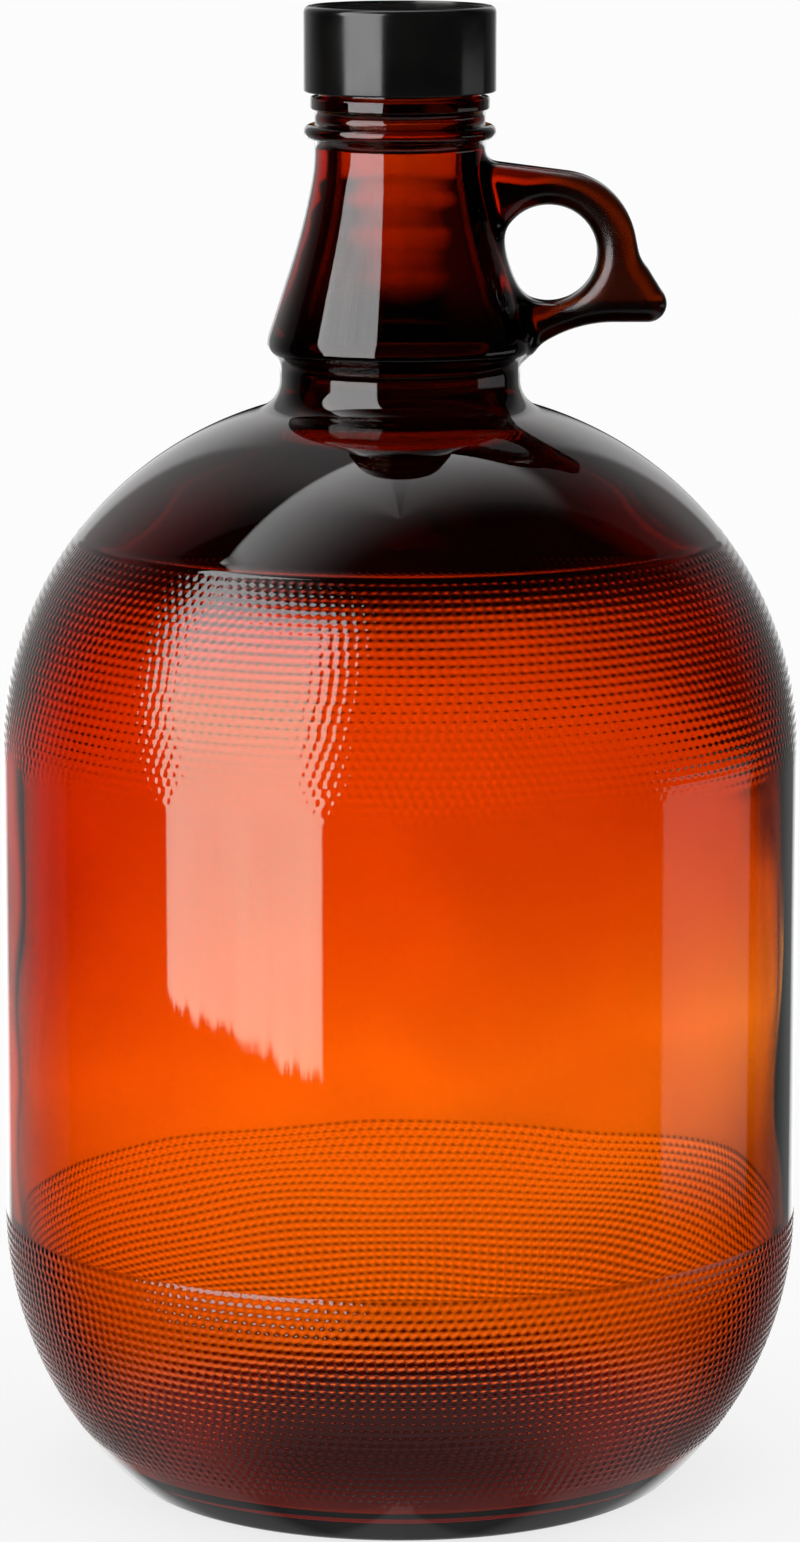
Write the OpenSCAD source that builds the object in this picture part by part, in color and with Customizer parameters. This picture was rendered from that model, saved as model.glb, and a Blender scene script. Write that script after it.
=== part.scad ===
// Five-litre glass growler: a moulded jug with a finger ring on its neck,
// a black screw cap and the sealing disc inside the cap.
// The origin is the centre of the base, +Z is up and the finger ring points to +X.

/* [Body] */
// Outside diameter of the straight part of the body
body_d = 184; // [176:1:192]
// Radius of the arcs that form the shoulder and the heel
dome_r = 84.3; // [80:0.1:86]
// Height at which the heel ends and the straight wall begins
heel_z = 63.6; // [62:0.1:66]
// Height at which the straight wall ends and the shoulder begins
shoulder_z = 169.9; // [165:0.1:172]
// Thickness of the glass in the body
wall = 4.5; // [3.5:0.1:5]
// Thickness of the glass in the floor
floor_t = 6.5; // [5:0.1:8]
// Rise of the hollow under the base at its centre
push_up = 5; // [3:0.5:7]
// Radius of the corner between the heel and the foot
foot_corner = 4; // [3:0.5:6]
// Width of the flat ring that the jug stands on
foot_land = 6; // [4:0.5:8]

/* [Collar and neck] */
// Radius of the waist under the collar
waist_r = 27.5; // [26.5:0.1:28]
// Largest radius of the conical collar
collar_r = 30.35; // [30:0.05:31]
// Height of the collar's widest point
collar_z = 265.3; // [264.5:0.1:266]
// Lean of the collar's flank from the vertical
flank_angle = 18; // [17:0.5:19]
// Radius of the neck above the collar
neck_r = 19.4; // [19.2:0.1:19.8]
// Outside radius of the ring round the neck
ring_r = 21.85; // [21.5:0.05:22.2]
// Height of the middle of that ring
ring_z = 314.1; // [313.5:0.1:314.5]
// Radius of the bead under the cap
bead_r = 20.4; // [20:0.1:20.8]
// Height of the top of that bead
bead_top = 321.9; // [321.5:0.1:322.2]
// Height of the lip
lip_z = 338.9; // [338:0.1:340]
// Radius of the mouth
mouth_r = 14.5; // [14:0.1:15]

/* [Finger ring] */
// Thickness of the finger ring along Y
ring_t = 13; // [11:0.5:14]
// Radius of the finger hole
finger_r = 11.1; // [10.5:0.1:11.5]
// Distance of the finger hole from the axis of the jug
finger_x = 33.9; // [33.5:0.1:34.5]
// Height of the centre of the finger hole
finger_z = 286.3; // [286:0.1:287]
// Radius of the outer curve of the finger ring
loop_r = 18; // [17.5:0.1:18.5]
// Distance of the spur's round tip from the axis of the jug
spur_x = 56.7; // [55:0.1:58]
// Height of the centre of the spur's round tip
spur_z = 274.8; // [274:0.1:275.5]
// Radius of the spur's round tip
spur_r = 4.2; // [3.8:0.1:4.5]

/* [Closure] */
// Outside diameter of the cap
cap_d = 43.8; // [43.6:0.1:45]
// Height of the cap
cap_h = 19.5; // [19.3:0.1:20.5]
// Thickness of the cap's skirt
skirt_t = 1.5; // [1.3:0.1:1.6]
// Thickness of the cap's top inside its rim
cap_top_t = 1.3; // [1:0.1:1.5]
// Depth of the recess in the cap's top
cap_recess = 0.6; // [0.4:0.1:0.8]
// Thickness of the sealing disc
liner_t = 1.5; // [1.2:0.1:1.6]
// Radius of the sealing disc
liner_r = 19.6; // [19.2:0.1:19.8]

/* [Thread] */
// Lead of the thread
pitch = 4; // [4:0.1:4.4]
// Number of turns of the thread, on the glass and in the cap
thread_turns = 1.5; // [1:0.25:1.75]
// Radius of the glass under the thread
root_r = 18.3; // [18.1:0.1:18.4]
// Height of the thread on the glass
thread_h = 1.5; // [1.2:0.1:1.6]
// Overlap of the two threads
thread_bite = 0.9; // [0.6:0.1:1]

/* [Hidden] */
$fn = 96;

body_r = body_d / 2;
dome_x = body_r - dome_r;     // distance of the dome arcs' centres from the axis
seat_gap = 0.05;              // play between the disc and its neighbours
arc_steps = 10;               // segments in a small arc
dome_steps = 20;              // segments in a large arc
thread_steps = 24;            // segments in one turn of a thread

waist_fillet = 7;             // between the shoulder and the waist
under_fillet = 5.5;           // under the collar
collar_edge = 2.5;            // rounded lower edge of the collar
under_angle = 50;             // turn of that edge
collar_bulge = 8;             // easing between the flank and the widest point
flare_r = 153;                // long arc above the flank
flare_top_r = 38;             // tighter arc where the flare meets the neck
flare_turn = 10.5;            // lean of the wall where those two arcs meet
neck_ring_t = 2;              // radius of the section of the ring round the neck
bead_h = 3;                   // height of the bead under the cap
lip_round = 0.9;              // rounding of the lip

throat_r = waist_r - wall;    // inside radius at the waist
throat_z = 262;               // where the inside of the neck begins to narrow
bore_z = 305;                 // where the inside of the neck becomes a straight bore
inner_dome_r = dome_r - wall;
throat_fillet = 10;           // inside, between the throat and the shoulder
floor_fillet = 12;            // inside, between the heel and the floor

loop_x = finger_x + 2.1;      // centre of the outer curve of the finger ring
loop_z = finger_z + 0.7;
loop_end = 11.5;              // lean of the ring's back below its outer curve
bar_slope = 7.4;              // fall of the ring's top bar
hollow_r = 9;                 // hollow between the ring's back and the spur
spur_slope = 43;              // lean of the spur's upper side
belly_r = 30;                 // curve under the lower bar
belly_x = 49;                 // where that curve begins
belly_turn = 38;              // how far it bends down before it meets the collar

cap_r = cap_d / 2;
liner_z = lip_z + seat_gap;
ceiling_z = liner_z + liner_t + seat_gap;
cap_top = ceiling_z + cap_top_t + cap_recess;
cap_bottom = cap_top - cap_h;
cap_bore_r = cap_r - skirt_t;
cap_edge = 1.6;               // rounding of the cap's top edge
cap_rim = 1.7;                // width of the raised rim round the recess
thread_start = bead_top + 4;  // height at which both threads begin
thread_sink = 0.5;            // how deep each thread is rooted in its wall
glass_thread_w = 2.2;         // axial width of the glass thread at its root
cap_thread_w = 1.8;           // axial width of the cap's thread at its root
thread_taper = 0.5;           // how much a thread narrows per millimetre of height, each side

// Points on an arc about c from angle a0 to angle a1
function arc(c, r, a0, a1, n = arc_steps) =
    [for (i = [0:n]) let (a = a0 + (a1 - a0) * i / n) c + r * [cos(a), sin(a)]];

// Height of a circle's centre when it touches a vertical line and a larger circle about (dome_x, z0)
function tangent_rise(x, reach) = sqrt(reach * reach - pow(x - dome_x, 2));

// Shallow arc from the axis at height top to radius r, where it has fallen by rise
function crown(r, top, rise) =
    let (big = (r * r + rise * rise) / (2 * rise))
    arc([0, top - big], big, 90, 90 - asin(r / big), dome_steps);

// Reverses a list of points
function flip(points) = [for (i = [len(points) - 1:-1:0]) points[i]];

// Hollow under the base, the flat foot and the heel, from the axis outwards and up
function base_outline() =
    let (reach = dome_r - foot_corner,
         corner_x = dome_x + sqrt(reach * reach - pow(heel_z - foot_corner, 2)),
         turn = atan2(heel_z - foot_corner, corner_x - dome_x))
    concat(
        crown(corner_x - foot_land, push_up, push_up),
        arc([corner_x, foot_corner], foot_corner, -90, -turn),
        arc([dome_x, heel_z], dome_r, -turn, 0, dome_steps));

// Shoulder and the waist above it
function shoulder_outline() =
    let (x = waist_r + waist_fillet,
         rise = tangent_rise(x, dome_r + waist_fillet),
         turn = atan2(rise, x - dome_x))
    concat(
        arc([dome_x, shoulder_z], dome_r, 0, turn, dome_steps),
        arc([x, shoulder_z + rise], waist_fillet, 180 + turn, 180));

// Conical collar, from the waist up to the neck
function collar_outline() =
    let (edge_c = [collar_r - collar_edge, collar_z],
         edge_end = edge_c + collar_edge * [cos(under_angle), -sin(under_angle)],
         under_c = edge_end + under_fillet * [cos(under_angle), -sin(under_angle)],
         bulge_c = [collar_r - collar_bulge, collar_z],
         flank_n = [cos(flank_angle), sin(flank_angle)],
         turn_n = [cos(flare_turn), sin(flare_turn)],
         low = bulge_c + collar_bulge * flank_n,
         run = (low[0] + flare_r * flank_n[0] - (flare_r - flare_top_r) * turn_n[0]
                - flare_top_r - neck_r) / flank_n[1],
         flare_c = low + run * [-flank_n[1], flank_n[0]] + flare_r * flank_n,
         top_c = flare_c - (flare_r - flare_top_r) * turn_n)
    concat(
        arc(under_c, under_fillet, 180, 180 - under_angle),
        arc(edge_c, collar_edge, -under_angle, 0),
        arc(bulge_c, collar_bulge, 0, flank_angle),
        arc(flare_c, flare_r, 180 + flank_angle, 180 + flare_turn),
        arc(top_c, flare_top_r, 180 + flare_turn, 180));

// Ring round the neck, the bead under the cap and the plain finish that carries the thread
function finish_outline() =
    let (ring_x = ring_r - neck_ring_t,
         half = acos((neck_r - ring_x) / neck_ring_t))
    concat(
        arc([ring_x, ring_z], neck_ring_t, -half, half),
        [[neck_r, bead_top - bead_h],
         [bead_r, bead_top - bead_h + 0.7],
         [bead_r, bead_top - 0.5],
         [bead_r - 0.5, bead_top],
         [root_r, bead_top]],
        arc([root_r - lip_round, lip_z - lip_round], lip_round, 0, 90),
        arc([mouth_r + lip_round, lip_z - lip_round], lip_round, 90, 180));

// Inside of the jug, from the mouth down to the axis
function inside_outline() =
    let (x = throat_r + throat_fillet,
         rise = tangent_rise(x, inner_dome_r + throat_fillet),
         turn = atan2(rise, x - dome_x),
         floor_z = floor_t,
         reach = inner_dome_r - floor_fillet,
         drop = heel_z - floor_z - floor_fillet,
         floor_x = dome_x + sqrt(reach * reach - drop * drop),
         heel_turn = atan2(drop, floor_x - dome_x))
    concat(
        [[mouth_r, bore_z], [throat_r, throat_z]],
        arc([x, shoulder_z + rise], throat_fillet, 180, 180 + turn),
        arc([dome_x, shoulder_z], inner_dome_r, turn, 0, dome_steps),
        arc([dome_x, heel_z], inner_dome_r, 0, -heel_turn, dome_steps),
        arc([floor_x, floor_z + floor_fillet], floor_fillet, -heel_turn, -90),
        flip(crown(floor_x - 1, floor_z + push_up - 1, push_up - 1)));

// Side view of the finger ring, its spur and its two roots in the collar
function handle_outline() =
    let (bar_end = [loop_x, loop_z] + loop_r * [sin(bar_slope), cos(bar_slope)],
         back_start = [loop_x, loop_z] + loop_r * [cos(loop_end), sin(loop_end)],
         back_end = back_start + 3.5 * [sin(loop_end), -cos(loop_end)],
         hollow_c = back_end + hollow_r * [cos(loop_end), sin(loop_end)],
         belly_c = [belly_x, spur_z - spur_r - belly_r])
    concat(
        [[neck_r - 2, bar_end[1] + (bar_end[0] - neck_r + 2) * tan(bar_slope)]],
        arc([loop_x, loop_z], loop_r, 90 - bar_slope, loop_end, dome_steps),
        arc(hollow_c, hollow_r, 180 + loop_end, 180 + spur_slope),
        arc([spur_x, spur_z], spur_r, spur_slope, -90),
        arc(belly_c, belly_r, 90, 90 + belly_turn),
        [[waist_r + 0.8, collar_z - 2.6], [waist_r - 2, collar_z - 2]]);

// Ridge that winds up round the axis, from radius r_root to radius r_crest
module thread(r_root, r_crest, w_root, w_crest) {
    turns = thread_turns * thread_steps;
    points = [
        for (i = [0:turns])
            let (a = 360 * i / thread_steps,
                 z = thread_start + pitch * i / thread_steps,
                 fade = min(1, min(i, turns - i) / 3),
                 tip = r_root + (r_crest - r_root) * (0.35 + 0.65 * fade))
            for (p = [[r_root, -w_root], [tip, -w_crest], [tip, w_crest], [r_root, w_root]])
                [p[0] * cos(a), p[0] * sin(a), z + p[1] / 2]
    ];
    inward = r_crest < r_root;
    sides = [
        for (i = [0:turns - 1], k = [0:3])
            let (a = 4 * i + k, b = 4 * i + (k + 1) % 4, c = b + 4, d = a + 4)
            each [inward ? [c, b, a] : [a, b, c], inward ? [d, c, a] : [a, c, d]]
    ];
    last = 4 * turns;
    ends = inward
        ? [[0, 1, 2], [0, 2, 3], [last, last + 2, last + 1], [last, last + 3, last + 2]]
        : [[0, 2, 1], [0, 3, 2], [last, last + 1, last + 2], [last, last + 2, last + 3]];
    polyhedron(points = points, faces = concat(sides, ends), convexity = 8);
}

// Turned glass of the jug, from foot to lip
module jug_shell() {
    rotate_extrude()
        polygon(concat(base_outline(), shoulder_outline(), collar_outline(),
                       finish_outline(), inside_outline()));
}

// Finger ring with its spur, rooted in the collar
module finger_ring() {
    rotate([90, 0, 0])
        difference() {
            linear_extrude(height = ring_t, center = true)
                polygon(handle_outline());
            translate([finger_x, finger_z, 0])
                cylinder(r = finger_r, h = ring_t + 2, center = true);
        }
}

module glass_jug() {
    color([0.55, 0.2, 0.02, 0.8]) {
        jug_shell();
        finger_ring();
        thread(root_r - thread_sink, root_r + thread_h,
               glass_thread_w + 2 * thread_taper * thread_sink,
               glass_thread_w - 2 * thread_taper * thread_h * 0.8);
    }
}

module screw_cap() {
    recess_r = cap_r - cap_rim;
    crest_r = root_r + thread_h - thread_bite;
    color([0.06, 0.06, 0.06]) {
        difference() {
            rotate_extrude()
                polygon(concat(
                    [[0, cap_bottom], [cap_r, cap_bottom]],
                    arc([cap_r - cap_edge, cap_top - cap_edge], cap_edge, 0, 90),
                    [[0, cap_top]]));
            translate([0, 0, cap_bottom - 1])
                cylinder(r = cap_bore_r, h = ceiling_z - cap_bottom + 1);
            translate([0, 0, cap_top - cap_recess])
                cylinder(r = recess_r, h = cap_recess + 1);
        }
        translate([0, 0, pitch / 2])
            thread(cap_bore_r + thread_sink, crest_r, cap_thread_w, cap_thread_w - 0.9);
    }
}

module cap_liner() {
    color([0.9, 0.9, 0.86])
        translate([0, 0, liner_z])
            cylinder(r = liner_r, h = liner_t);
}

glass_jug();
screw_cap();
cap_liner();
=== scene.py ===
"""Five-litre amber glass growler: stippled jug with a finger ring, black screw cap and sealing disc."""

import math

import bpy
import numpy as np
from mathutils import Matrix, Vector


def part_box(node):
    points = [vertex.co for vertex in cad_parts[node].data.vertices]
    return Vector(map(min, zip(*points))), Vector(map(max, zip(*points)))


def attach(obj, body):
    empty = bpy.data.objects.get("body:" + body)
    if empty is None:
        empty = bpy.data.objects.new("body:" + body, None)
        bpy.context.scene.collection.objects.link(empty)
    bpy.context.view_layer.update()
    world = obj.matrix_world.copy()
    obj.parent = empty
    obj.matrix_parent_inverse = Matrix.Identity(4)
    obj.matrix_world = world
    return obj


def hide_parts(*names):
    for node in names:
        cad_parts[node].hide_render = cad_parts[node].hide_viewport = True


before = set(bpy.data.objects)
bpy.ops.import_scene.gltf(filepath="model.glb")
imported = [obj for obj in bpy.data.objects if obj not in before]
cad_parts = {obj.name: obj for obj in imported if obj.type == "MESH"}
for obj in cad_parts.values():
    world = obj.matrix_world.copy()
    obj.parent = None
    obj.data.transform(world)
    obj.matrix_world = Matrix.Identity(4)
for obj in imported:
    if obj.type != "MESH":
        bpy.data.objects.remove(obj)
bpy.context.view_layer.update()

# Sizes from the frame. MM is one millimetre of the model, whose body is 184 mm across.
jug_low, jug_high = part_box("glass_jug")
cap_low, cap_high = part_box("screw_cap")
disc_low, disc_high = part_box("cap_liner")
BODY_R = -jug_low.y
MM = BODY_R / 92
LIP_Z = jug_high.z
CAP_LOW, CAP_TOP = cap_low.z, cap_high.z
CAP_R = cap_high.y
CAP_EDGE = 1.6 * MM
CAP_RIM = 1.7 * MM
CAP_RECESS = 0.6 * MM
CAP_FINE = 0.2 * MM
SKIRT_ROUND = 0.4 * MM
DISH_ROUND = 0.3 * MM
CAP_BORE_R = CAP_R - 1.5 * MM
CAP_ROOF = disc_high.z + 0.05 * MM
DISC_R = disc_high.y

# Screw thread, one start, right-handed
PITCH = 4 * MM
TURNS = 1.5
THREAD_H = 1.5 * MM
THREAD_BITE = 0.9 * MM
THREAD_START = 325.9 * MM
GLASS_THREAD_W = 2.2 * MM
CAP_THREAD_W = 1.8 * MM
THREAD_RINGS = 60

# Finger ring and its spur
RING_WIDTH = 13 * MM
RING_ROUND = 4.2 * MM
ROOT_FILLET = 3 * MM
HOLE_BLEND = 2 * MM
FINGER_R = 11.1 * MM
FINGER_X = 33.9 * MM
FINGER_Z = 286.3 * MM
LOOP_R = 18 * MM
LOOP_X = FINGER_X + 2.1 * MM
LOOP_Z = FINGER_Z + 0.7 * MM
LOOP_END = 11.5
BAR_SLOPE = 7.4
BACK_RUN = 3.5 * MM
HOLLOW_R = 9 * MM
SPUR_X = 56.7 * MM
SPUR_Z = 274.8 * MM
SPUR_R = 4.2 * MM
SPUR_SLOPE = 43
BELLY_X = 49 * MM
BELLY_R = 30 * MM
BELLY_TURN = 38

# Net of the neck and the finger ring
NECK_COLUMNS = 576
NECK_LOW = 257.8 * MM
NECK_HIGH = 310.9 * MM
NET_STEP = 0.7 * MM

# Glass: body
DOME_R = 84.3 * MM
DOME_X = BODY_R - DOME_R
HEEL_Z = 63.6 * MM
SHOULDER_Z = 169.9 * MM
FLOOR_T = 6.5 * MM
PUSH_UP = 5 * MM
FOOT_CORNER = 4 * MM
FOOT_LAND = 6 * MM

# Glass: thickness. The wall goes from WALL_LOW at THIN_WALL_Z to WALL_HIGH at THICK_WALL_Z.
WALL_LOW = 3.4 * MM
WALL_HIGH = 4.8 * MM
THIN_WALL_Z = 85 * MM
THICK_WALL_Z = 150 * MM
THROAT_WALL = 5.9 * MM
# The shoulder thickens over EXTRA_SPREAD degrees from EXTRA_TURN up, and thins over the last EXTRA_END
SHOULDER_EXTRA = 1.9 * MM
EXTRA_TURN = 31
EXTRA_SPREAD = 22
EXTRA_END = 8
# Waves of the inside, which calm down over CALM_RUN below CALM_Z
INNER_WAVE = 0.12 * MM
CALM_Z = 270 * MM
CALM_RUN = 20 * MM
CALM_SHARE = 0.3
# One thin place in the wall
THIN_TURN = -24
THIN_Z = 132 * MM
THIN_DEPTH = 3.1 * MM
THIN_WIDE = 34
THIN_TALL = 46 * MM

# Glass: collar, neck and finish
WAIST_R = 27.5 * MM
WAIST_FILLET = 7 * MM
COLLAR_R = 30.35 * MM
COLLAR_Z = 265.3 * MM
COLLAR_EDGE = 2.5 * MM
UNDER_FILLET = 5.5 * MM
UNDER_ANGLE = 50
BULGE_R = 8 * MM
FLANK_ANGLE = 18
FLARE_R = 153 * MM
FLARE_TOP_R = 38 * MM
FLARE_TURN = 10.5
NECK_R = 19.4 * MM
RING_R = 21.85 * MM
RING_Z = 313.9 * MM
RING_T = 1.7 * MM
BEAD_R = 20.4 * MM
BEAD_TOP = 321.9 * MM
BEAD_H = 3 * MM
ROOT_R = 18.3 * MM
LIP_ROUND = 0.9 * MM
MOUTH_R = 14.5 * MM
BORE_Z = 305 * MM
THROAT_FILLET = 10 * MM
FLOOR_FILLET = 12 * MM
# Inside of the neck: heights and radii
NECK_BORE = np.array([
    [257.5, 21.6], [264, 24.76], [268, 23.35], [273, 21.69], [278, 20.12], [283, 18.68],
    [288, 17.18], [293, 16.23], [298, 15], [302, 14.79], [306, 13.79], [310, 14.5],
]) * MM
BORE_LOW = 258.5 * MM

# Stipple: rows of small beads on the shoulder and the heel, each row shifted by ROW_SHIFT (a bead is 2 pi).
# RIDGE_SHARE and PLAIN_HEIGHT are shares of the beads' height, for the ridges and for the plain top row.
COLUMNS = 288
BAND_TURN = 38.6
BEAD_ROWS = 28
BEAD_STEP = 2.25 * MM
HEEL_BEAD_H = 0.26 * MM
SHOULDER_BEAD_H = 0.13 * MM
RIDGE_SHARE = 0.12
HEEL_FADE_ROWS = 2
SHOULDER_FADE_ROWS = 4
ROW_SHIFT = 2.4
PLAIN_HEIGHT = 0.8
BAND_GAP = 0.3 * MM
SAMPLES = 4

# Looks of the glass by place, as ramps: from, to, and the share at each
# Painted shade: the glass colour goes towards black from the waist up, darkest on the collar, less up the
# neck
WAIST_PAINTED_SHADE = (230 * MM, 246 * MM, 1.0, 0.17)
NECK_SHADE_EASING = (266 * MM, 282 * MM, 0.0, 0.6)
# Painted shade and extra roughness on the finger ring
RING_DULL_SHADE_ACROSS = (20 * MM, 42 * MM, 0.0, 1.0)
RING_DULL_SHADE_UP = (250 * MM, 262 * MM, 0.0, 1.0)
# Painted tint on the reflections from the foot of the wall up the shoulder, so the highlight looks peach over
# the amber
HIGHLIGHT_TINT_FROM = (62 * MM, 70 * MM, 0.0, 1.0)
HIGHLIGHT_TINT_TO = (190 * MM, 215 * MM, 1.0, 0.0)
HIGHLIGHT_TINT = (0.72, 1.18, 0.92, 1)

# Camera: lens in mm, place in body radii, and tilt down in degrees
LENS = 145.53
CAMERA_BACK = 15.456
CAMERA_UP = 4.5495
CAMERA_TILT = 10.07
FLOOR_SIZE = 8.0
FLOOR_DROP = 0.2 * MM

# Studio light. Four numbers are a ramp: from, to, and the value at each. Three are a window: from, to, and
# how soft its ends are. Turns and lifts are in degrees. The key light's ragged end and level follow a noise,
# the ceiling's rise and edge a share of a direction, and most of the glow's ramps a slope.
KEY_SIDE = (21.5, 22.5, 0, 1)
KEY_FAR_SIDE = (69.5, 70.5, 1, 0)
KEY_LOW_END = (-13.35, -13.2, 0, 1)
KEY_HIGH_END = (50, 53, 1, 0)
KEY_LEAN = 0.5
KEY_SLOPE = 0.016
KEY_RAGGED = (0.3, 0.7, -0.1, 0.1)
KEY_LEVEL = (0.3, 0.7, 5.0, 6.0)
LEFT_WALL = (110, 176, 3)
LEFT_LEVEL = (112, 152, 0.06, 0.42)
RIGHT_WALL = (124, 176, 2)
RIGHT_LEVEL = (-5, 25, 0.1, 0.16)
RIGHT_ROUND = (130, 155, 0.5, 2.2)
RIGHT_UP = (15, 45, 1.0, 0.5)
BACK_WALL = (157, 176, 4)
BACK_LEVEL = (20, 45, 0.56, 0)
WALLS_UP = (-45, -20, 0.0, 1.0)
STRIP_ACROSS = (80, 121, 1.5)
STRIP_UP = (-14.3, -4.6, 1.0)
STRIP_LEVEL = (80, 121, 0.7, 0.35)
CEILING_TURN = 140
CEILING_RISE = (-0.15, 0.4, 0.0, 1.0)
CEILING_EDGE = (0.42, 0.44, 3, 0)
CEILING_UP = (50, 56, 0, 1)
GROUND_LEVEL = (-80, -45, 0.2, 0.0)
GROUND_RING = (-70, -30, 12)
GROUND_RING_LEVEL = 0.3
GLOW_ROUND = (157, 166, 0, 1)
GLOW_WIDER = 11.0
GLOW_TOP = (0.032, 0.072, 1.0, 0.0)
GLOW_NEARER = (-0.045, 0.026, 1.1, 0.95)
GLOW_SHADE = (-0.16, -0.03, 0.2, 1.0)
GLOW_ACROSS = (-0.005, 0.02, 1.0, 0.86)
GLOW_LEVEL = 0.9
GLOW_THROUGH = 1.35
THROUGH_LOSS = 0.88
FAINT = 0.006


def arc(x, z, radius, start, end, steps=16):
    """Points on a circle about (x, z), from angle start to angle end in degrees."""
    a = np.radians(np.linspace(start, end, steps + 1))
    return np.column_stack([x + radius * np.cos(a), z + radius * np.sin(a)])


def unit(angle):
    """Direction at an angle in degrees."""
    return np.array([math.cos(math.radians(angle)), math.sin(math.radians(angle))])


def crown(radius, top, rise):
    """Shallow arc from the axis at height top to radius, where it has fallen by rise."""
    big = (radius * radius + rise * rise) / (2 * rise)
    return arc(0, top - big, big, 90, 90 - math.degrees(math.asin(radius / big)), 24)


def base_outline():
    """Hollow under the base, the foot and the smooth part of the heel."""
    reach = DOME_R - FOOT_CORNER
    corner_x = DOME_X + math.sqrt(reach**2 - (HEEL_Z - FOOT_CORNER) ** 2)
    turn = math.degrees(math.atan2(HEEL_Z - FOOT_CORNER, corner_x - DOME_X))
    return np.vstack([
        crown(corner_x - FOOT_LAND, PUSH_UP, PUSH_UP),
        arc(corner_x, FOOT_CORNER, FOOT_CORNER, -90, -turn),
        arc(DOME_X, HEEL_Z, DOME_R, -turn, -BAND_TURN, 8)[1:-1],
    ])


def heel_band(share):
    """Point and outward direction on the stippled heel at a share of its height."""
    turn = -BAND_TURN * (1 - share)
    return np.array([DOME_X, HEEL_Z]) + DOME_R * unit(turn), unit(turn)


def shoulder_band(share):
    """Point and outward direction on the stippled shoulder at a share of its height."""
    turn = BAND_TURN * share
    return np.array([DOME_X, SHOULDER_Z]) + DOME_R * unit(turn), unit(turn)


def wall_outline():
    """Plain straight wall between the two stippled bands."""
    z = np.linspace(HEEL_Z, SHOULDER_Z, 40)
    z[0] += BAND_GAP
    z[-1] -= BAND_GAP
    return np.column_stack([np.full(len(z), BODY_R), z])


def shoulder_outline():
    """Smooth top of the shoulder and the waist above it."""
    x = WAIST_R + WAIST_FILLET
    rise = math.sqrt((DOME_R + WAIST_FILLET) ** 2 - (x - DOME_X) ** 2)
    turn = math.degrees(math.atan2(rise, x - DOME_X))
    return np.vstack([
        arc(DOME_X, SHOULDER_Z, DOME_R, BAND_TURN, turn, 40)[1:],
        arc(x, SHOULDER_Z + rise, WAIST_FILLET, 180 + turn, 180)[1:],
    ])


def collar_outline():
    """Conical collar from the waist up to the neck."""
    edge = np.array([COLLAR_R - COLLAR_EDGE, COLLAR_Z])
    edge_end = edge + COLLAR_EDGE * unit(-UNDER_ANGLE)
    under = edge_end + UNDER_FILLET * unit(-UNDER_ANGLE)
    bulge = np.array([COLLAR_R - BULGE_R, COLLAR_Z])
    flank, turn = unit(FLANK_ANGLE), unit(FLARE_TURN)
    low = bulge + BULGE_R * flank
    spread = FLARE_R - FLARE_TOP_R
    run = (low[0] + FLARE_R * flank[0] - spread * turn[0] - FLARE_TOP_R - NECK_R) / flank[1]
    flare = low + run * np.array([-flank[1], flank[0]]) + FLARE_R * flank
    top = flare - spread * turn
    flank_line = np.linspace(low, flare - FLARE_R * flank, 20)[1:-1]
    return np.vstack([
        arc(*under, UNDER_FILLET, 180, 180 - UNDER_ANGLE),
        arc(*edge, COLLAR_EDGE, -UNDER_ANGLE, 0)[1:],
        arc(*bulge, BULGE_R, 0, FLANK_ANGLE)[1:],
        flank_line,
        arc(*flare, FLARE_R, 180 + FLANK_ANGLE, 180 + FLARE_TURN, 24),
        arc(*top, FLARE_TOP_R, 180 + FLARE_TURN, 180)[1:],
    ])


def finish_outline():
    """Ring round the neck, the bead under the cap, and the finish with its lip."""
    ring_x = RING_R - RING_T
    half = math.degrees(math.acos((NECK_R - ring_x) / RING_T))
    low = BEAD_TOP - BEAD_H
    round_r = 0.5 * MM
    return np.vstack([
        arc(ring_x, RING_Z, RING_T, -half, half, 28),
        [[NECK_R, low - round_r]],
        arc(BEAD_R - round_r, low + round_r, round_r, -60, 0, 6),
        arc(BEAD_R - round_r, BEAD_TOP - round_r, round_r, 0, 90, 8),
        arc(ROOT_R + round_r, BEAD_TOP + round_r, round_r, 270, 180, 6),
    ])


def thread_height(turn, z, width, height):
    """How far a thread stands proud at angle turn (radians) and height z: full on its crest, none between."""
    proud = np.zeros(np.broadcast(turn, z).shape)
    for lap in range(math.ceil(TURNS)):
        wound = turn / (2 * math.pi) + lap
        fade = np.clip(np.minimum(wound, TURNS - wound) * 12, 0, 1)
        across = np.abs(z - THREAD_START - PITCH * wound) / (width / 2)
        ridge = np.clip((1 - across) * 2.2, 0, 1)
        proud = np.maximum(proud, height * fade * ease(ridge))
    return proud


def finish(turned):
    """Ring, bead, threaded finish and rounded lip."""
    turned.outline(finish_outline(), COLUMNS)
    turn = 2 * math.pi * np.arange(COLUMNS) / COLUMNS
    for z in np.linspace(BEAD_TOP + MM, LIP_Z - LIP_ROUND - 0.2 * MM, THREAD_RINGS):
        turned.ring(ROOT_R, z, COLUMNS, (1, 0), thread_height(turn, z, GLASS_THREAD_W, THREAD_H))
    turned.outline(arc(ROOT_R - LIP_ROUND, LIP_Z - LIP_ROUND, LIP_ROUND, 0, 90, 10), COLUMNS)
    turned.outline(arc(MOUTH_R + LIP_ROUND, LIP_Z - LIP_ROUND, LIP_ROUND, 90, 180, 10), COLUMNS)


def ease(share):
    """Goes smoothly from 0 to 1 as share does."""
    return share * share * (3 - 2 * share)


def soften(z, knots):
    """Radius at each height: straight between the knots, with the corners rounded off."""
    spread = np.linspace(-4, 4, 17) * MM
    near = z[:, None] + spread
    return np.interp(near, knots[:, 0], knots[:, 1]).mean(axis=1)


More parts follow.
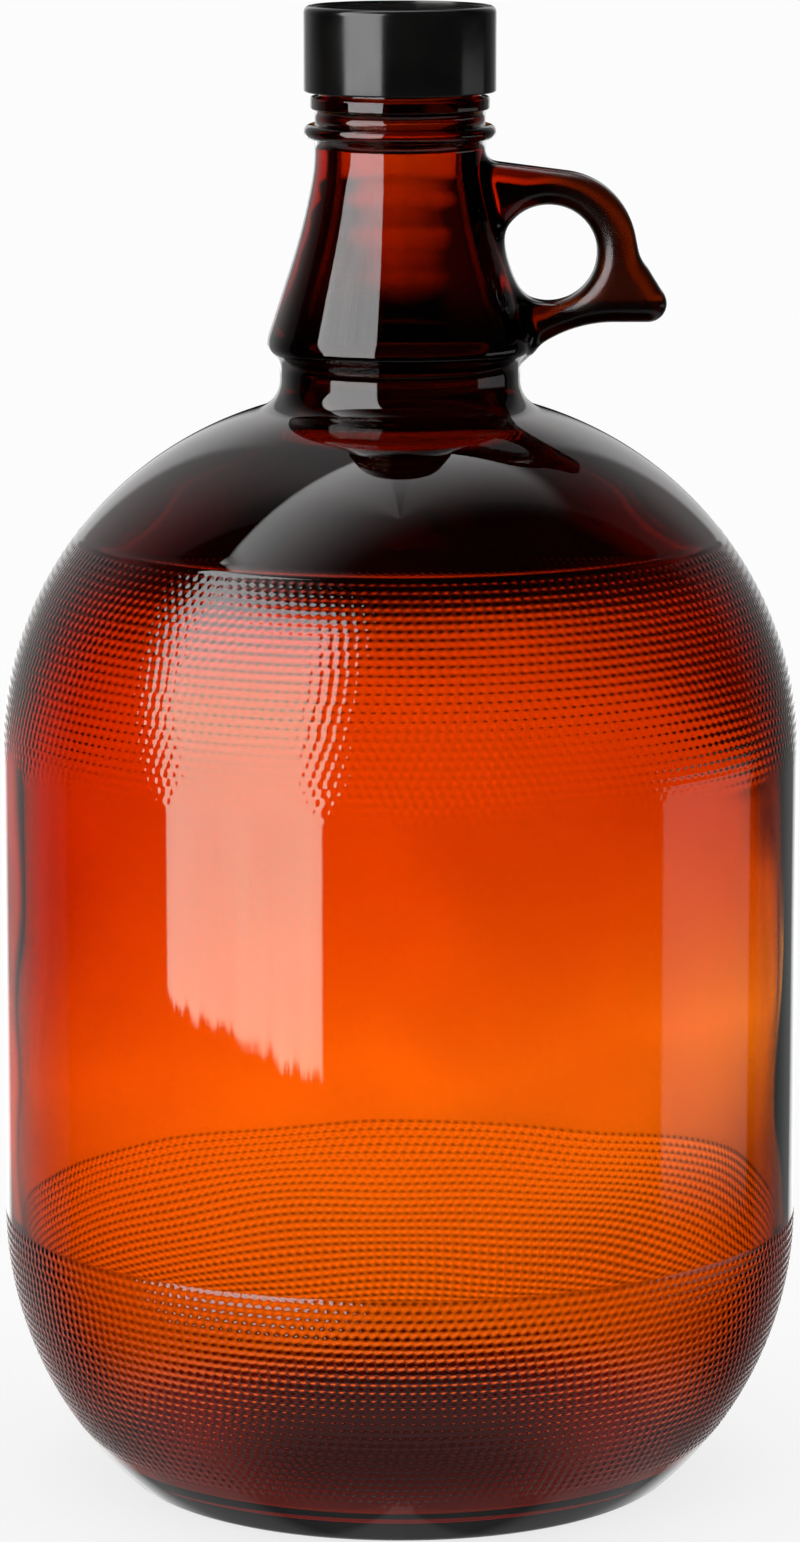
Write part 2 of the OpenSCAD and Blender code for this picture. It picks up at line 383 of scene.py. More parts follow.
def thicker_shoulder(radius, top_turn):
    """Inside of the shoulder from top_turn down to the wall, drawn in where the glass is thicker."""
    turn = np.linspace(top_turn, 0, 41)[1:]
    near = np.clip((turn - EXTRA_TURN) / EXTRA_SPREAD, 0, 1) * np.clip((top_turn - turn) / EXTRA_END, 0, 1)
    reach = radius - SHOULDER_EXTRA * ease(near)
    return np.array([DOME_X, SHOULDER_Z]) + reach[:, None] * np.array([unit(a) for a in turn])


def inside_outline():
    """Inside of the jug from the mouth down to the axis."""
    inner = DOME_R - WALL_HIGH
    lower = DOME_R - WALL_LOW
    throat = WAIST_R - THROAT_WALL
    x = throat + THROAT_FILLET
    rise = math.sqrt((inner + THROAT_FILLET) ** 2 - (x - DOME_X) ** 2)
    turn = math.degrees(math.atan2(rise, x - DOME_X))
    drop = HEEL_Z - FLOOR_T - FLOOR_FILLET
    floor_x = DOME_X + math.sqrt((lower - FLOOR_FILLET) ** 2 - drop**2)
    heel = math.degrees(math.atan2(drop, floor_x - DOME_X))
    drop_z = np.linspace(BORE_Z + 5 * MM, BORE_LOW, 60)
    narrowing = np.column_stack([soften(drop_z, NECK_BORE), drop_z])
    bore = np.column_stack([np.full(8, MOUTH_R), np.linspace(LIP_Z - 2 * MM, BORE_Z + 7 * MM, 8)])
    wall_z = np.linspace(SHOULDER_Z, HEEL_Z, 30)[1:-1]
    thick = np.clip((wall_z - THIN_WALL_Z) / (THICK_WALL_Z - THIN_WALL_Z), 0, 1)
    wall_t = WALL_LOW + (WALL_HIGH - WALL_LOW) * ease(thick)
    return np.vstack([
        bore,
        narrowing,
        arc(x, SHOULDER_Z + rise, THROAT_FILLET, 180, 180 + turn),
        thicker_shoulder(inner, turn),
        np.column_stack([BODY_R - wall_t, wall_z]),
        arc(DOME_X, HEEL_Z, lower, 0, -heel, 36),
        arc(floor_x, FLOOR_T + FLOOR_FILLET, FLOOR_FILLET, -heel, -90)[1:],
        crown(floor_x - MM, FLOOR_T + PUSH_UP - MM, PUSH_UP - MM)[::-1],
    ])


def ring_outline():
    """Side view of the finger ring and its spur, running on into the neck."""
    bar_end = np.array([LOOP_X, LOOP_Z]) + LOOP_R * unit(90 - BAR_SLOPE)
    down = unit(LOOP_END - 90)
    back_start = np.array([LOOP_X, LOOP_Z]) + LOOP_R * unit(LOOP_END)
    back_end = back_start + BACK_RUN * down
    hollow = back_end + HOLLOW_R * unit(LOOP_END)
    deep = MOUTH_R / 2
    bar_rise = (bar_end[0] - deep) * math.tan(math.radians(BAR_SLOPE))
    return np.vstack([
        [[deep, bar_end[1] + bar_rise]],
        arc(LOOP_X, LOOP_Z, LOOP_R, 90 - BAR_SLOPE, LOOP_END, 40),
        arc(*hollow, HOLLOW_R, 180 + LOOP_END, 180 + SPUR_SLOPE, 16),
        arc(SPUR_X, SPUR_Z, SPUR_R, SPUR_SLOPE, -90, 24),
        arc(BELLY_X, SPUR_Z - SPUR_R - BELLY_R, BELLY_R, 90, 90 + BELLY_TURN, 24),
        [[WAIST_R + 0.8 * MM, COLLAR_Z - 2.6 * MM], [deep, COLLAR_Z - 2 * MM]],
    ])


def outline_distance(x, z, outline):
    """Distance to a closed outline, negative inside it."""
    far = np.full(x.shape, 1.0)
    inside = np.zeros(x.shape, bool)
    for (ax, az), (bx, bz) in zip(outline, np.roll(outline, -1, axis=0)):
        ex, ez = bx - ax, bz - az
        t = np.clip(((x - ax) * ex + (z - az) * ez) / (ex * ex + ez * ez), 0, 1)
        far = np.minimum(far, np.hypot(x - ax - t * ex, z - az - t * ez))
        if az != bz:
            crosses = (az > z) != (bz > z)
            inside ^= crosses & (x < ex * (z - az) / ez + ax)
    return np.where(inside, -far, far)


def smooth_min(a, b, width):
    """The lesser of two distances, with the crease between them filled over a width."""
    mix = np.clip(0.5 + 0.5 * (b - a) / width, 0, 1)
    return b + (a - b) * mix - width * mix * (1 - mix)


class NeckField:
    """Signed distance to the outside of the collar, neck and finger ring together."""

    def __init__(self):
        """Keeps the radius and the slope of the neck at each height, and the side view of the ring."""
        profile = np.vstack([[[WAIST_R, NECK_LOW - 5 * MM]], collar_outline(), [[NECK_R, RING_Z]]])
        self.heights = np.linspace(profile[0, 1], profile[-1, 1], 1200)
        self.radii = np.interp(self.heights, profile[:, 1], profile[:, 0])
        self.tilt = 1 / np.hypot(1, np.gradient(self.radii, self.heights))
        self.side = ring_outline()

    def __call__(self, x, y, z):
        """Distance at each point, with a fillet where the ring meets the neck."""
        radius = np.hypot(x, y)
        neck = (radius - np.interp(z, self.heights, self.radii)) * np.interp(z, self.heights, self.tilt)
        near = (x > MOUTH_R - MM) & (np.abs(y) < RING_WIDTH) & (neck > -2 * ROOT_FILLET)
        ring = np.full(x.shape, 1.0)
        ring[near] = self.ring(x[near], y[near], z[near])
        return np.where(near, smooth_min(neck, ring, ROOT_FILLET), neck)

    def ring(self, x, y, z):
        """Distance to the finger ring, a slab with a hole and rounded edges."""
        edge = outline_distance(x, z, self.side)
        hole = FINGER_R - np.hypot(x - FINGER_X, z - FINGER_Z)
        flat = -smooth_min(-edge, -hole, HOLE_BLEND) + RING_ROUND
        side = np.abs(y) - RING_WIDTH / 2 + RING_ROUND
        outer = np.hypot(np.maximum(flat, 0), np.maximum(side, 0))
        return outer + np.minimum(np.maximum(flat, side), 0) - RING_ROUND

    def slope(self, p):
        """Direction in which the distance grows at each point."""
        h = 0.05 * MM
        steps = np.eye(3) * h
        return np.column_stack([(self(*(p + s).T) - self(*(p - s).T)) / (2 * h) for s in steps])


# The four cells round a grid edge along each axis, as steps in turn, radius and height
CELLS_ROUND_EDGE = (
    ((0, -1, -1), (0, 0, -1), (0, 0, 0), (0, -1, 0)),
    ((-1, 0, -1), (-1, 0, 0), (0, 0, 0), (0, 0, -1)),
    ((-1, -1, 0), (0, -1, 0), (0, 0, 0), (-1, 0, 0)),
)


def step(grid, axis, amount):
    """The grid moved on by 0 or 1 along an axis. The turn axis is a loop, and the others get one shorter."""
    if axis == 0:
        return np.roll(grid, -amount, axis=0)
    kept = [slice(None)] * 3
    kept[axis] = slice(amount, grid.shape[axis] - 1 + amount)
    return grid[tuple(kept)]


def edge_crossings(value, axis):
    """Which grid edges along an axis the surface cuts, how far along, and whether each begins inside."""
    first, after = step(value, axis, 0), step(value, axis, 1)
    cross = (first < 0) != (after < 0)
    share = np.where(cross, first / np.where(cross, first - after, 1), 0)
    return cross, share, first < 0


def cell_places(crossings, shape):
    """Sum of the places in each cell where its edges are cut, and how many are."""
    places = np.zeros((*shape, 3))
    hits = np.zeros(shape)
    for axis, (cross, share, _) in enumerate(crossings):
        one, other = [k for k in range(3) if k != axis]
        for i, j in ((0, 0), (0, 1), (1, 0), (1, 1)):
            picked = step(step(cross, one, i), other, j)
            hits += picked
            places[..., axis] += picked * step(step(share, one, i), other, j)
            places[..., one] += picked * i
            places[..., other] += picked * j
    return places, hits


def quads_round(crossing, axis, index):
    """Quads between the four cells round each cut edge, all facing out."""
    cross, _, filled = crossing
    i, j, k = np.nonzero(cross)
    start = filled[i, j, k]
    ring = np.stack([
        np.stack([(i + a) % NECK_COLUMNS, j + b, k + c]) for a, b, c in CELLS_ROUND_EDGE[axis]], axis=1)
    _, wide, tall = index.shape
    fits = np.all((ring[1] >= 0) & (ring[1] < wide) & (ring[2] >= 0) & (ring[2] < tall), axis=0)
    ring, start = ring[:, :, fits], start[fits]
    quad = index[ring[0], ring[1], ring[2]].T
    return np.where(start[:, None], quad[:, ::-1], quad)


def neck_surface():
    """Net of the neck with its finger ring: points, quads, and its lowest and highest rings."""
    field = NeckField()
    turns = 2 * math.pi * (np.arange(NECK_COLUMNS) - 0.5) / NECK_COLUMNS
    radii = np.arange(15 * MM, SPUR_X + SPUR_R + 3 * NET_STEP, NET_STEP)
    heights = np.arange(NECK_LOW, NECK_HIGH, NET_STEP)
    turn, radius, height = np.meshgrid(turns, radii, heights, indexing="ij")
    value = field(*(g.ravel() for g in (radius * np.cos(turn), radius * np.sin(turn), height)))
    value = value.reshape(turn.shape)
    crossings = [edge_crossings(value, axis) for axis in range(3)]
    places, hits = cell_places(crossings, (NECK_COLUMNS, len(radii) - 1, len(heights) - 1))
    used = hits > 0
    index = np.full(hits.shape, -1)
    index[used] = np.arange(used.sum())
    a, b, c = np.nonzero(used)
    inner = places[used] / hits[used][:, None]
    t = turns[a] + inner[:, 0] * (2 * math.pi / NECK_COLUMNS)
    r = radii[b] + inner[:, 1] * NET_STEP
    h = heights[c] + inner[:, 2] * NET_STEP
    points = settle(field, np.column_stack([r * np.cos(t), r * np.sin(t), h]))
    low, high = index[:, :, 0].max(axis=1), index[:, :, -1].max(axis=1)
    level_rings(points, low, high)
    quads = [quads_round(crossing, axis, index) for axis, crossing in enumerate(crossings)]
    return points, np.vstack(quads), low, high


def settle(field, points):
    """Moves the points onto the surface of the field."""
    for _ in range(3):
        slope = field.slope(points)
        value = field(*points.T)
        points = points - slope * (value / np.maximum((slope**2).sum(axis=1), 0.1))[:, None]
    return points


def level_rings(points, low, high):
    """Levels the lowest and highest rings."""
    for ring in (low, high):
        points[ring, 2] = points[ring, 2].mean()


def waviness(turn, z):
    """Slow unevenness of blown glass, about one unit high."""
    h = z / MM
    return (np.sin(3 * turn + h / 17) + np.sin(5 * turn - h / 11 + 1.3) + 0.6 * np.sin(9 * turn + h / 6.5 + 4)
            + 0.5 * np.sin(14 * turn - h / 8 + 2) + 0.7 * np.sin(h / 5.5 + 1.5 * np.sin(2 * turn))) / 3


def inner_unevenness(turn, z):
    """How far the inside wall strays outward: slow waves and one thin place."""
    side = (np.degrees(turn) - THIN_TURN + 180) % 360 - 180
    thin = THIN_DEPTH * np.exp(-((side / THIN_WIDE) ** 2) - ((z - THIN_Z) / THIN_TALL) ** 2)
    calm = np.clip((CALM_Z - z) / CALM_RUN, CALM_SHARE, 1)
    return INNER_WAVE * calm * waviness(turn, z) + thin


class Turned:
    """A closed mesh built ring by ring round the axis."""

    def __init__(self):
        self.points = []
        self.faces = []
        self.last = None

    def ring(self, x, z, count, normal=(1, 0), lift=0.0):
        """Adds a ring of count points, each pushed out along normal by lift, and joins it to the last one."""
        start = sum(len(p) for p in self.points)
        if x < 1e-6 * MM:
            self.points.append(np.array([[0.0, 0.0, z]]))
            self.join(np.array([start]))
            return
        a = 2 * math.pi * np.arange(count) / count
        r = x + lift * normal[0]
        h = z + lift * normal[1] + np.zeros(count)
        self.points.append(np.column_stack([r * np.cos(a), r * np.sin(a), h]))
        self.join(start + np.arange(count))

    def patch(self, points, faces, low, high):
        """Adds a ready-made band of surface and joins its lowest ring to the last one."""
        start = sum(len(p) for p in self.points)
        self.points.append(points)
        self.join(start + low)
        self.faces.append(start + faces)
        self.last = start + high

    def join(self, new):
        """Faces between the last ring and a new one, either of which may be a single point."""
        old, self.last = self.last, new
        if old is None:
            return
        a, b = len(old), len(new)
        if b == 1:
            self.faces += [np.column_stack([old, np.roll(old, -1), np.full(a, new[0])])]
        elif a == 1:
            self.faces += [np.column_stack([np.full(b, old[0]), np.roll(new, -1), new])]
        elif a == b:
            self.faces += [np.column_stack([old, np.roll(old, -1), np.roll(new, -1), new])]
        elif b > a:
            self.fan(old, new, False)
        else:
            self.fan(new, old, True)

    def fan(self, coarse, fine, fine_first):
        """Joins a ring to one with a multiple of its points."""
        k = len(fine) // len(coarse)
        fine = fine.reshape(len(coarse), k)
        edge = np.column_stack([fine, np.roll(fine[:, 0], -1)])
        after = np.roll(coarse, -1)
        middle = k // 2
        for i in range(k):
            tip = coarse if i < middle else after
            pair = (edge[:, i], edge[:, i + 1]) if fine_first else (edge[:, i + 1], edge[:, i])
            self.faces.append(np.column_stack([*pair, tip]))
        if fine_first:
            self.faces.append(np.column_stack([edge[:, middle], after, coarse]))
        else:
            self.faces.append(np.column_stack([coarse, after, edge[:, middle]]))

    def outline(self, points, count, stray=None):
        """Adds a ring at each point. stray gives how far a true ring is missed at each turn and height."""
        turn = 2 * math.pi * np.arange(count) / count
        for x, z in points:
            self.ring(x, z, count, (1, 0), stray(turn, z) if stray else 0.0)

    def piece(self, name, material, body, node, slot):
        """Makes the mesh a piece that rides on a body and stands for a CAD node."""
        mesh = make_mesh(name, np.vstack(self.points), self.faces)
        piece = make_object(name, mesh, material)
        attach(piece, body)
        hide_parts(node)


def make_mesh(name, points, groups):
    """Smooth mesh from points and arrays of faces, each array with one number of corners."""
    mesh = bpy.data.meshes.new(name)
    sizes = np.concatenate([np.full(len(g), g.shape[1]) for g in groups])
    corners = np.concatenate([g.ravel() for g in groups])
    mesh.vertices.add(len(points))
    mesh.vertices.foreach_set("co", np.asarray(points, np.float32).ravel())
    mesh.loops.add(len(corners))
    mesh.loops.foreach_set("vertex_index", corners.astype(np.int32))
    mesh.polygons.add(len(sizes))
    starts = np.concatenate([[0], np.cumsum(sizes)[:-1]])
    mesh.polygons.foreach_set("loop_start", starts.astype(np.int32))
    mesh.update(calc_edges=True)
    mesh.validate()
    mesh.shade_smooth()
    return mesh


def make_object(name, mesh, material):
    """Puts a mesh into the scene."""
    piece = bpy.data.objects.new(name, mesh)
    bpy.context.scene.collection.objects.link(piece)
    mesh.materials.append(material)
    return piece


def stipple(turned, place, bead_h, fade_rows, ridges, plain_row):
    """Rows of beads on low ridges, from the bottom up, the first few fading in and one left plain.
    place gives a point and direction. ridges is the ridges' share of the height, first at the bottom."""
    columns = COLUMNS * SAMPLES
    turn = 2 * math.pi * np.arange(columns) / columns
    steps = BEAD_ROWS * SAMPLES
    for i in range(steps + 1):
        point, normal = place(i / steps)
        row = min(i // SAMPLES, BEAD_ROWS - 1)
        middle, _ = place((row + 0.5) / BEAD_ROWS)
        beads = round(2 * math.pi * middle[0] / BEAD_STEP)
        around = (0.5 - 0.5 * np.cos(beads * turn + ROW_SHIFT * row)) ** 2
        if row == plain_row:
            around = PLAIN_HEIGHT
        along = 0.5 - 0.5 * math.cos(2 * math.pi * i / SAMPLES)
        along *= min(1, i / SAMPLES / fade_rows)
        ridge = ridges[0] + (ridges[1] - ridges[0]) * i / steps
        height = bead_h * along * (ridge + (1 - ridge) * around)
        turned.ring(*point, columns, normal, height)


def glass_jug():
    """Whole outside from the middle of the base up to the mouth, then the inside down to the axis."""
    turned = Turned()
    turned.outline(base_outline(), COLUMNS)
    stipple(turned, heel_band, HEEL_BEAD_H, HEEL_FADE_ROWS, (RIDGE_SHARE, 0), None)
    turned.outline(wall_outline(), COLUMNS)
    ridges = (RIDGE_SHARE, RIDGE_SHARE)
    stipple(turned, shoulder_band, SHOULDER_BEAD_H, SHOULDER_FADE_ROWS, ridges, BEAD_ROWS - 1)
    turned.outline(shoulder_outline(), COLUMNS)
    turned.patch(*neck_surface())
    finish(turned)
    turned.outline(inside_outline(), COLUMNS // 2, inner_unevenness)
    turned.piece("jug_glass", amber_glass(), "jug", "glass_jug", "amber_glass")


def screw_cap():
    """Smooth cap with a shallow dish in its top, and a threaded skirt open at the bottom."""
    turn = 2 * math.pi * np.arange(COLUMNS) / COLUMNS
    thread_h = CAP_BORE_R - ROOT_R - THREAD_H + THREAD_BITE
    dish = CAP_TOP - CAP_RECESS
    rim = CAP_R - CAP_RIM
    turned = Turned()
    turned.outline([[0, CAP_ROOF], [CAP_BORE_R / 2, CAP_ROOF], [CAP_BORE_R, CAP_ROOF]], COLUMNS)
    for z in np.linspace(CAP_ROOF - 0.5 * MM, CAP_LOW + 0.5 * MM, THREAD_RINGS):
        proud = thread_height(turn, z - PITCH / 2, CAP_THREAD_W, thread_h)
        turned.ring(CAP_BORE_R, z, COLUMNS, (1, 0), -proud)
    turned.outline([[CAP_BORE_R, CAP_LOW + CAP_FINE], [CAP_BORE_R + CAP_FINE, CAP_LOW]], COLUMNS)
    turned.outline(arc(CAP_R - SKIRT_ROUND, CAP_LOW + SKIRT_ROUND, SKIRT_ROUND, -90, 0, 6), COLUMNS)
    turned.outline(arc(CAP_R - CAP_EDGE, CAP_TOP - CAP_EDGE, CAP_EDGE, 0, 90, 16), COLUMNS)
    turned.outline(arc(rim + CAP_FINE, CAP_TOP - CAP_FINE, CAP_FINE, 90, 180, 6), COLUMNS)
    turned.outline(arc(rim - DISH_ROUND, dish + DISH_ROUND, DISH_ROUND, 0, -90, 6), COLUMNS)
    turned.outline([[rim / 2, dish], [0, dish]], COLUMNS)
    turned.piece("cap_shell", black_plastic(), "cap", "screw_cap", "black_plastic")


def sealing_disc():
    """Foam disc in the cap, with rounded edges and a faint ring where the lip presses."""
    low, high = disc_low.z, disc_high.z
    edge = 0.4 * MM
    dent = low + 0.12 * MM
    turned = Turned()
    pressed = [[MOUTH_R, low], [MOUTH_R + MM, dent], [ROOT_R - MM, dent], [ROOT_R, low]]
    turned.outline([[0, low], *pressed], COLUMNS)
    turned.outline(arc(DISC_R - edge, low + edge, edge, -90, 0, 6), COLUMNS)
    turned.outline(arc(DISC_R - edge, high - edge, edge, 0, 90, 6), COLUMNS)
    turned.outline([[DISC_R / 2, high], [0, high]], COLUMNS)
    turned.piece("seal_disc", liner_foam(), "disc", "cap_liner", "liner_foam")


class Nodes:
    """Short way to build a tree of nodes."""

    def __init__(self, tree):
        self.tree = tree
        tree.nodes.clear()

    def add(self, kind, **settings):
        """A node with its inputs set by name, or linked where the value is an output."""
        inputs = settings.pop("inputs", {})
        node = self.tree.nodes.new(kind)
        for key, value in settings.items():
            setattr(node, key, value)
        for key, value in inputs.items():
            if isinstance(value, bpy.types.NodeSocket):
                self.tree.links.new(value, node.inputs[key])
            else:
                node.inputs[key].default_value = value
        return node

    def math(self, operation, a, b=None):
        """Result of a sum on one or two values."""
        inputs = {0: a} if b is None else {0: a, 1: b}
        return self.add("ShaderNodeMath", operation=operation, inputs=inputs).outputs[0]

    def times(self, first, *others):
        """Product of the values."""
        for other in others:
            first = self.math("MULTIPLY", first, other)
        return first

    def plus(self, first, *others):
        """Sum of the values."""
        for other in others:
            first = self.math("ADD", first, other)
        return first

    def ramp(self, value, low, high, start, end, kind="SMOOTHSTEP"):
        """Goes from start at low to end at high."""
        return self.add("ShaderNodeMapRange", interpolation_type=kind, inputs={
            "Value": value, "From Min": low, "From Max": high, "To Min": start, "To Max": end}).outputs[0]

    def place(self):
        """Place in the object, in metres."""
        return self.add("ShaderNodeTexCoord").outputs["Object"]

    def noise(self, scale, detail):
        """Even noise from 0 to 1 with scale waves to the metre."""
        return self.add("ShaderNodeTexNoise", inputs={
            "Vector": self.place(), "Scale": scale, "Detail": detail}).outputs[0]

    def blend(self, value, first, second):
        """Colour that goes from first to second as value rises through the middle."""
        return self.mix(self.ramp(value, 0.3, 0.7, 0.0, 1.0), first, second)

    def mix(self, share, first, second):
        """Colour that goes from first to second as share goes from 0 to 1."""
        return self.add("ShaderNodeMix", data_type="RGBA", inputs={0: share, 6: first, 7: second}).outputs[2]

    def bump(self, height, distance):
        """Normal of a surface in relief, distance deep."""
        return self.add("ShaderNodeBump", inputs={"Height": height, "Distance": distance}).outputs[0]

    def window(self, value, low, high, soft):
        """One between low and high, nothing outside, with soft edges."""
        rise = self.ramp(value, low, low + soft, 0, 1)
        return self.times(rise, self.ramp(value, high - soft, high, 1, 0))

    def finish(self, surface, volume=None):
        """Makes a shader the material's surface, and another its volume."""
        out = self.add("ShaderNodeOutputMaterial")
        self.tree.links.new(surface.outputs[0], out.inputs["Surface"])
        if volume:
            self.tree.links.new(volume.outputs[0], out.inputs["Volume"])


def new_material(name):
    """An empty material and its nodes."""
    material = bpy.data.materials.new(name)
    material.use_nodes = True
    return material, Nodes(material.node_tree)


def amber_glass():
    """Clear amber glass, its colour mostly in the volume, with faint cloudiness and waves in the surface.
    Painted shade darkens the collar, neck and finger ring, the ring is rougher, and wall reflections get a
    painted tint."""
    material, n = new_material("amber_glass")
    cloud = n.noise(40, 3)
    across, _, height = n.add("ShaderNodeSeparateXYZ", inputs={0: n.place()}).outputs
    # painted shade on the finger ring: its colour is darkened and browned, and it is made rougher
    pressed = n.times(n.ramp(across, *RING_DULL_SHADE_ACROSS), n.ramp(height, *RING_DULL_SHADE_UP))
    # painted shade: share of the glass colour kept, falling towards black over the collar and partly coming
    # back up the neck
    clear = n.plus(n.ramp(height, *WAIST_PAINTED_SHADE), n.ramp(height, *NECK_SHADE_EASING))
    # painted highlight tint: where reflections on the wall and shoulder are coloured
    highlight_tint = n.times(n.ramp(height, *HIGHLIGHT_TINT_FROM), n.ramp(height, *HIGHLIGHT_TINT_TO))
    tint = n.blend(cloud, (1.0, 0.99, 0.97, 1), (0.98, 0.96, 0.93, 1))
    glass = n.add("ShaderNodeBsdfPrincipled", inputs={
        "Base Color": n.mix(pressed, n.mix(clear, (0, 0, 0, 1), tint), (0.16, 0.45, 0.45, 1)),
        "Transmission Weight": 1.0,
        "Roughness": n.plus(n.ramp(cloud, 0.35, 0.75, 0.0, 0.02), n.times(pressed, 0.22)),
        "IOR": 1.52,
        "Specular Tint": n.mix(highlight_tint, (1, 1, 1, 1), HIGHLIGHT_TINT),
        "Normal": n.bump(n.noise(60, 2), 0.006 * MM),
    })
    amber = n.add("ShaderNodeVolumeAbsorption", inputs={
        "Color": (0.9, 0.618, 0.0, 1),
        "Density": 1000.0,
    })
    n.finish(glass, amber)
    return material


def black_plastic():
    """Glossy moulded black plastic with a trace of grain."""
    material, n = new_material("black_plastic")
    smear = n.noise(90, 4)
    plastic = n.add("ShaderNodeBsdfPrincipled", inputs={
        "Base Color": n.blend(smear, (0.003, 0.003, 0.003, 1), (0.006, 0.0055, 0.005, 1)),
        "Roughness": n.ramp(smear, 0.3, 0.7, 0.13, 0.2),
        "Normal": n.bump(n.noise(1500, 2), 0.004 * MM),
    })
    n.finish(plastic)
    return material


def liner_foam():
    """Closed-cell white foam: small cells in relief, slightly yellowed."""
    material, n = new_material("liner_foam")
    cells = n.add("ShaderNodeTexVoronoi", inputs={"Vector": n.place(), "Scale": 1600.0}).outputs["Distance"]
    foam = n.add("ShaderNodeBsdfPrincipled", inputs={
        "Base Color": n.blend(n.noise(150, 4), (0.8, 0.79, 0.75, 1), (0.72, 0.7, 0.64, 1)),
        "Roughness": n.ramp(cells, 0.0, 0.8, 0.75, 0.95),
        "Normal": n.bump(cells, 0.06 * MM),
    })
    n.finish(foam)
    return material


def floor_material():
    """Pale paper for the eye. Light that has touched the glass sees only a painted shadow under the jug, a
    dim glowing patch.
    """
    material, n = new_material("floor")
    place = n.add("ShaderNodeTexCoord")
    reach = n.add("ShaderNodeVectorMath", operation="LENGTH", inputs={0: place.outputs["Object"]})
    # painted shadow: a dim brown glow under the jug for all rays but the camera's, clear further out
    shadow = n.ramp(reach.outputs["Value"], 0.3 * BODY_R, 0.7 * BODY_R, 1.0, 0.0)
    clear = n.add("ShaderNodeBsdfTransparent")
    dark = n.add("ShaderNodeEmission", inputs={"Color": (0.11, 0.09, 0.07, 1)})
    hidden = n.add("ShaderNodeMixShader", inputs={0: shadow, 1: clear.outputs[0], 2: dark.outputs[0]})
    grain = n.add("ShaderNodeTexNoise", inputs={"Vector": place.outputs["Object"], "Scale": 900.0})
    tone = n.ramp(grain.outputs[0], 0.0, 1.0, 0.96, 0.99)
    paper = n.add("ShaderNodeBsdfDiffuse", inputs={"Color": tone})
    glow = n.add("ShaderNodeEmission", inputs={"Color": tone})
    seen = n.add("ShaderNodeMixShader", inputs={0: 0.2, 1: glow.outputs[0], 2: paper.outputs[0]})
    light = n.add("ShaderNodeLightPath")
    both = n.add("ShaderNodeMixShader", inputs={
        0: light.outputs["Is Camera Ray"], 1: hidden.outputs[0], 2: seen.outputs[0]})
    n.finish(both)
    return material


def stage():
    """Floor just under the jug's foot."""
    mesh = bpy.data.meshes.new("floor")
    corners = [(FLOOR_SIZE * x, FLOOR_SIZE * y, 0) for x, y in ((-1, -1), (1, -1), (1, 1), (-1, 1))]
    mesh.from_pydata(corners, [], [(0, 1, 2, 3)])
    floor = make_object("floor", mesh, floor_material())
    floor.location.z = -FLOOR_DROP


